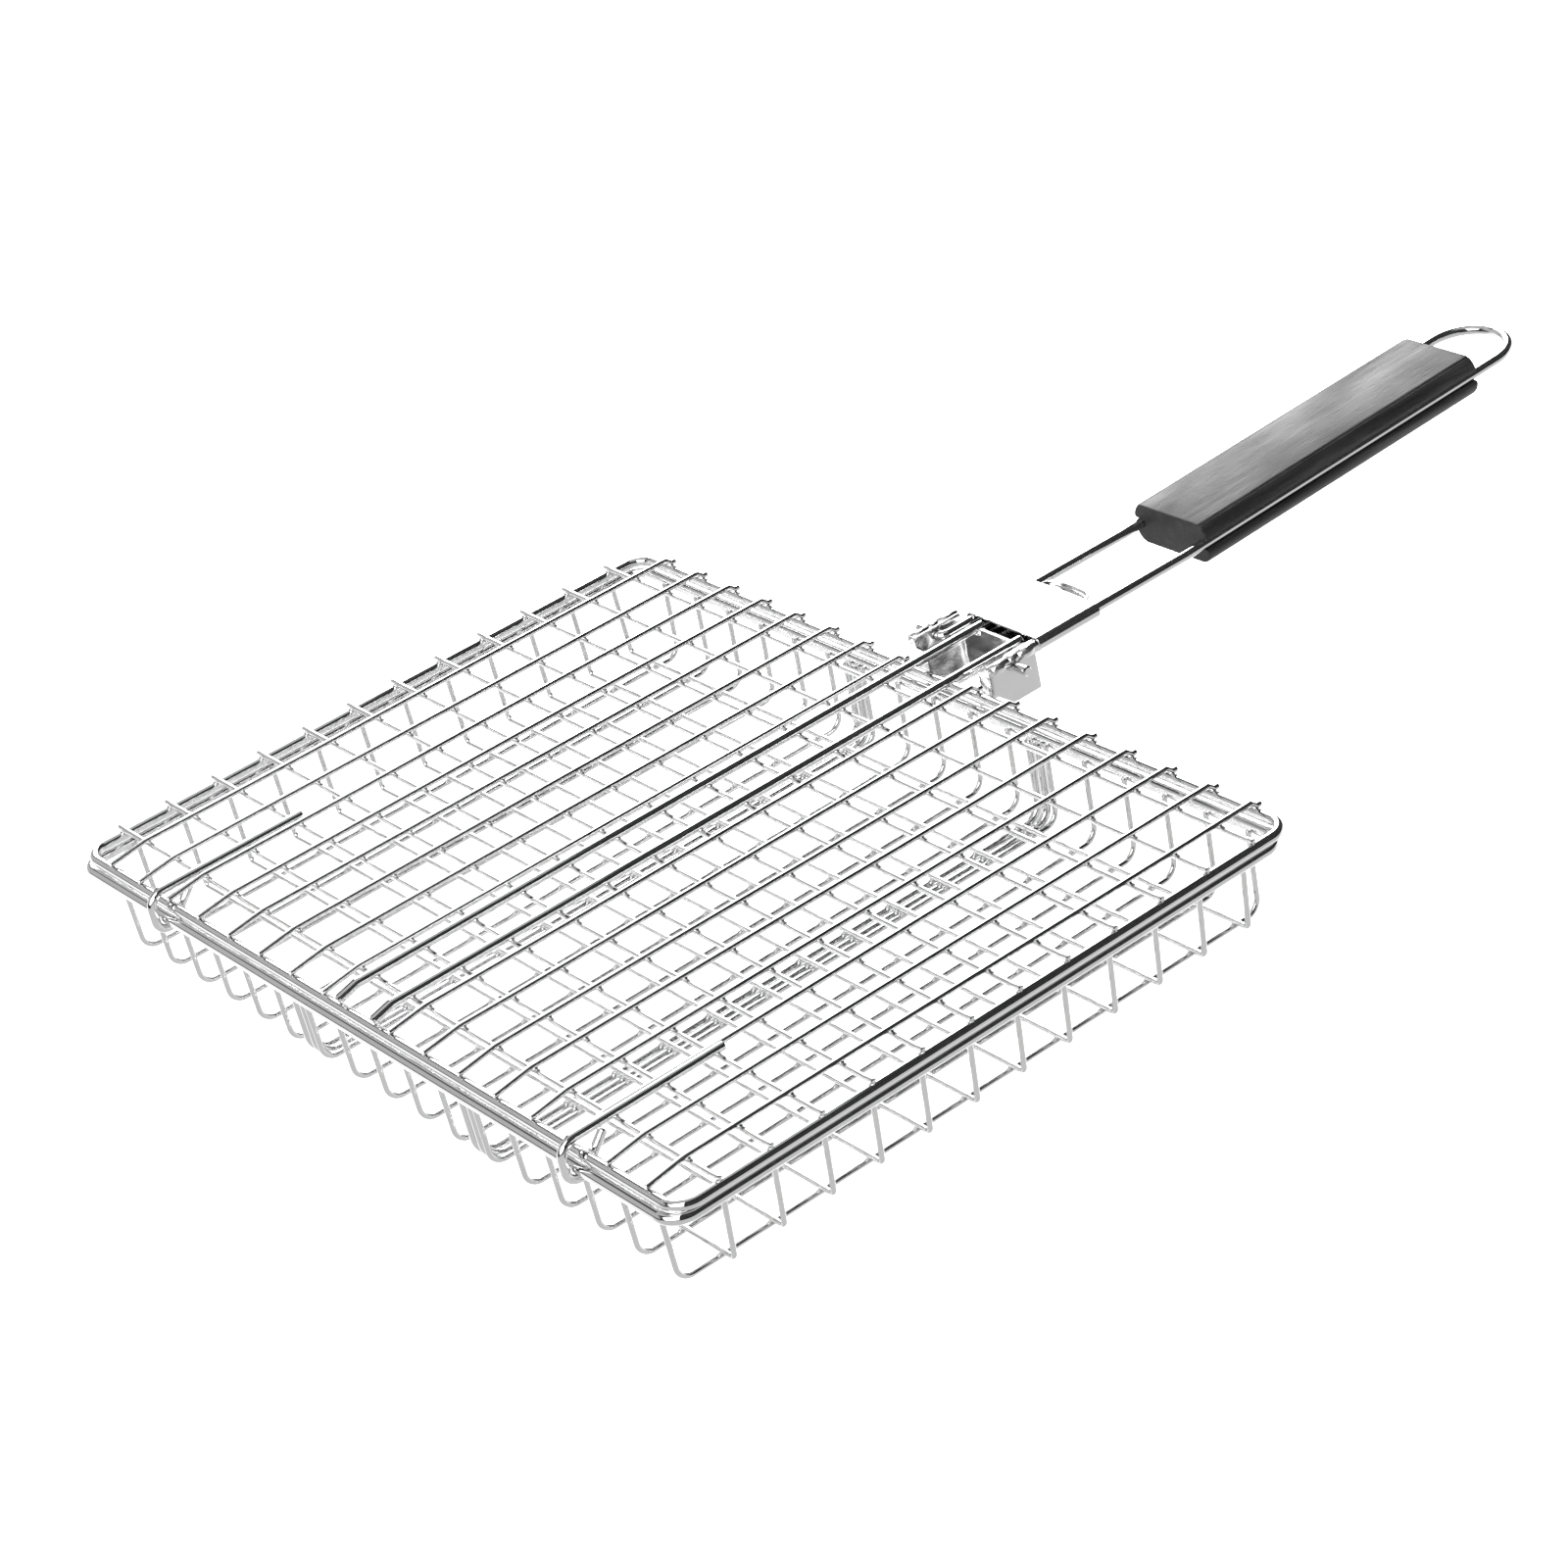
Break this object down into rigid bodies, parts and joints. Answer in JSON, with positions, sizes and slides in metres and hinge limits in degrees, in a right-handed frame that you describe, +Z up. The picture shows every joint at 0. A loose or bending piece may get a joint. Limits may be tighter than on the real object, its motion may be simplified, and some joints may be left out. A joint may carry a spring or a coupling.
{
  "type": "grill basket",
  "caption": "Flat wire grill basket with a deep wire tray, a hooked wire lid, and a folding wire handle with a wood grip and a sliding lock sleeve.",
  "frame": {"origin": "centre of the wire grid, on the surface that the support wires rest on", "axes": "+X across the basket, +Y from the hooks towards the handle along the object's length, +Z up through the lid"},
  "size_m": [0.3237, 0.4934, 0.0503],
  "materials": {
    "mesh_wire": "bright chrome-plated thin steel wire",
    "heavy_wire": "bright chrome-plated thick steel wire",
    "handle_wire": "bright chrome-plated handle wire",
    "sheet_metal": "chrome-plated folded steel sheet",
    "stained_wood": "black-stained open-grained wood with a satin top"
  },
  "bodies": {
    "basket": {"basket_rim": "heavy_wire", "bracket": "sheet_metal", "support_wire_1": "heavy_wire", "support_wire_2": "heavy_wire", "support_wire_3": "heavy_wire", "support_wire_4": "heavy_wire", "basket_long_wire_01": "mesh_wire", "basket_long_wire_02": "mesh_wire", "basket_long_wire_03": "mesh_wire", "basket_long_wire_04": "mesh_wire", "basket_long_wire_05": "mesh_wire", "basket_long_wire_06": "mesh_wire", "basket_long_wire_07": "mesh_wire", "basket_long_wire_08": "mesh_wire", "basket_long_wire_09": "mesh_wire", "basket_long_wire_10": "mesh_wire", "basket_long_wire_11": "mesh_wire", "basket_long_wire_12": "mesh_wire", "basket_long_wire_13": "mesh_wire", "basket_long_wire_14": "mesh_wire", "basket_long_wire_15": "mesh_wire", "basket_long_wire_16": "mesh_wire", "basket_long_wire_17": "mesh_wire", "basket_cross_wire_01": "mesh_wire", "basket_cross_wire_02": "mesh_wire", "basket_cross_wire_03": "mesh_wire", "basket_cross_wire_04": "mesh_wire", "basket_cross_wire_05": "mesh_wire", "basket_cross_wire_06": "mesh_wire", "basket_cross_wire_07": "mesh_wire", "basket_cross_wire_08": "mesh_wire", "basket_cross_wire_09": "mesh_wire", "basket_cross_wire_10": "mesh_wire", "basket_cross_wire_11": "mesh_wire", "basket_cross_wire_12": "mesh_wire"},
    "lid": {"lid_frame": "heavy_wire", "lid_cross_wires": "mesh_wire", "rail_left": "heavy_wire", "rail_right": "heavy_wire", "hook_left": "heavy_wire", "hook_right": "heavy_wire", "lid_long_wire_01": "mesh_wire", "lid_long_wire_02": "mesh_wire", "lid_long_wire_03": "mesh_wire", "lid_long_wire_04": "mesh_wire", "lid_long_wire_05": "mesh_wire", "lid_long_wire_06": "mesh_wire", "lid_long_wire_07": "mesh_wire", "lid_long_wire_08": "mesh_wire", "lid_long_wire_09": "mesh_wire", "lid_long_wire_10": "mesh_wire", "lid_long_wire_11": "mesh_wire", "lid_long_wire_12": "mesh_wire", "lid_long_wire_13": "mesh_wire", "lid_long_wire_14": "mesh_wire", "lid_long_wire_15": "mesh_wire", "lid_long_wire_16": "mesh_wire"},
    "handle": {"handle_wire": "handle_wire", "wood_grip": "stained_wood"},
    "sleeve": {"lock_sleeve": "sheet_metal"}
  },
  "joints": [
    {"name": "lid_hinge", "type": "hinge", "parent": "basket", "child": "lid", "pos_m": [0, -0.1155, 0.02895], "axis": [1, 0, 0], "range_deg": [0, 110]},
    {"name": "handle_fold", "type": "hinge", "parent": "basket", "child": "handle", "pos_m": [0, 0.1283, 0.03795], "axis": [1, 0, 0], "range_deg": [0, 155]},
    {"name": "sleeve_slide", "type": "slide", "parent": "handle", "child": "sleeve", "axis": [0, 1, 0], "range_m": [0, 0.04]}
  ]
}
